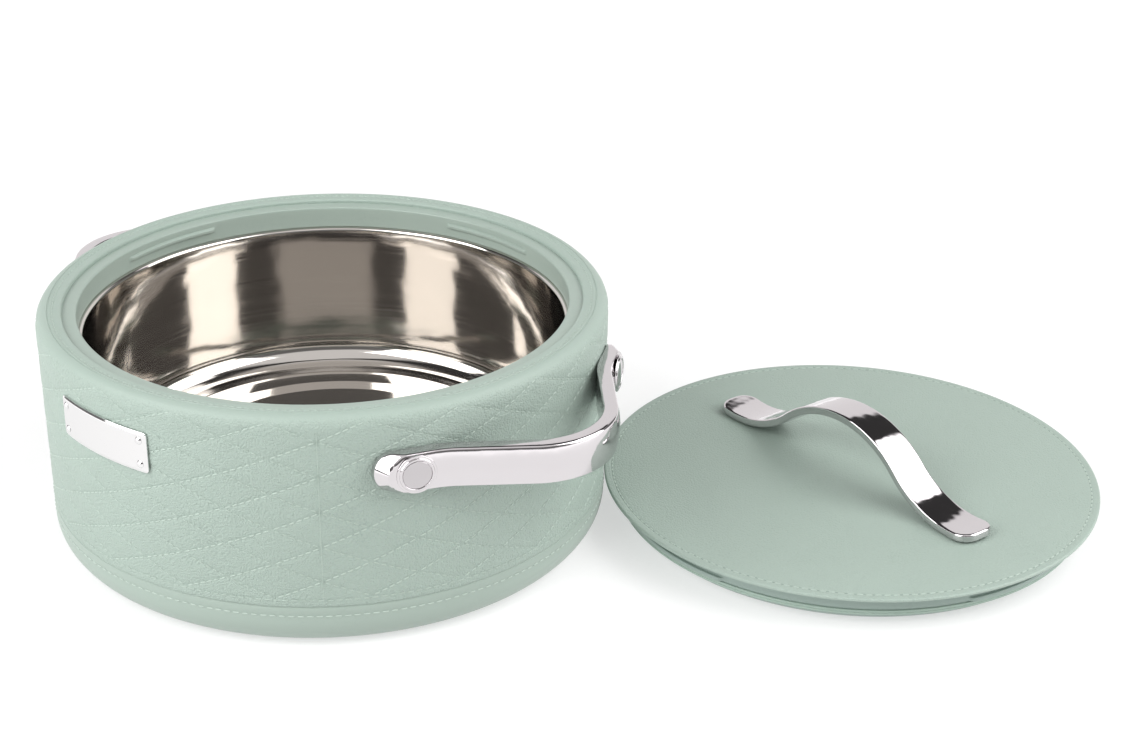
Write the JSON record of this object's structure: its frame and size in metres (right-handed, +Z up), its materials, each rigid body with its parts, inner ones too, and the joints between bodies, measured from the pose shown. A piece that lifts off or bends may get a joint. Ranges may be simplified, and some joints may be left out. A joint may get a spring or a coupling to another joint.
{
  "type": "serving pot",
  "caption": "Low round insulated serving pot with a quilted leather-look shell, steel bowl, chrome strap handles and a lift-off bayonet lid lying beside it.",
  "frame": {"origin": "on the pot's axis, on the table under its foot ring", "axes": "+Z up, the two side handles on X, the plate facing -Y, the lid lying towards +X +Y"},
  "size_m": [0.539, 0.4762, 0.128],
  "materials": {
    "quilted_shell": "leather grain with a soft sheen",
    "smooth_plastic": "smooth satin",
    "soft_plug": "matt",
    "polished_steel": "mirror polished stainless steel",
    "insulation": "rigid foam",
    "bright_chrome": "bright chrome",
    "plain_steel": "plain zinc-plated",
    "seal_rubber": "silicone, satin"
  },
  "bodies": {
    "pot": {"outer_shell": "quilted_shell", "base_cup": "smooth_plastic", "fill_plug": "soft_plug", "rim_collar": "smooth_plastic", "inner_bowl": "polished_steel", "foam_fill": "insulation", "handle_right": "bright_chrome", "handle_left": "bright_chrome", "handle_bolts": "bright_chrome", "bolt_caps": "bright_chrome", "handle_washers": "plain_steel", "handle_nuts": "plain_steel", "badge_plate": "bright_chrome", "badge_rivets": "bright_chrome"},
    "seal": {"lid_seal": "seal_rubber"},
    "lid": {"lid_cover": "quilted_shell", "lid_plug": "smooth_plastic", "lid_foam": "insulation", "lid_handle": "bright_chrome", "lid_screws": "plain_steel", "lid_washers": "plain_steel"}
  },
  "joints": [
    {"name": "lid_lift", "type": "slide", "parent": "pot", "child": "seal", "axis": [0.1042, 0.0922, 0.9903], "range_m": [0, 0.2]},
    {"name": "lid_turn", "type": "hinge", "parent": "seal", "child": "lid", "pos_m": [0.2137, 0.18907, 0], "axis": [0, 0, -1], "range_deg": [0, 45]}
  ]
}
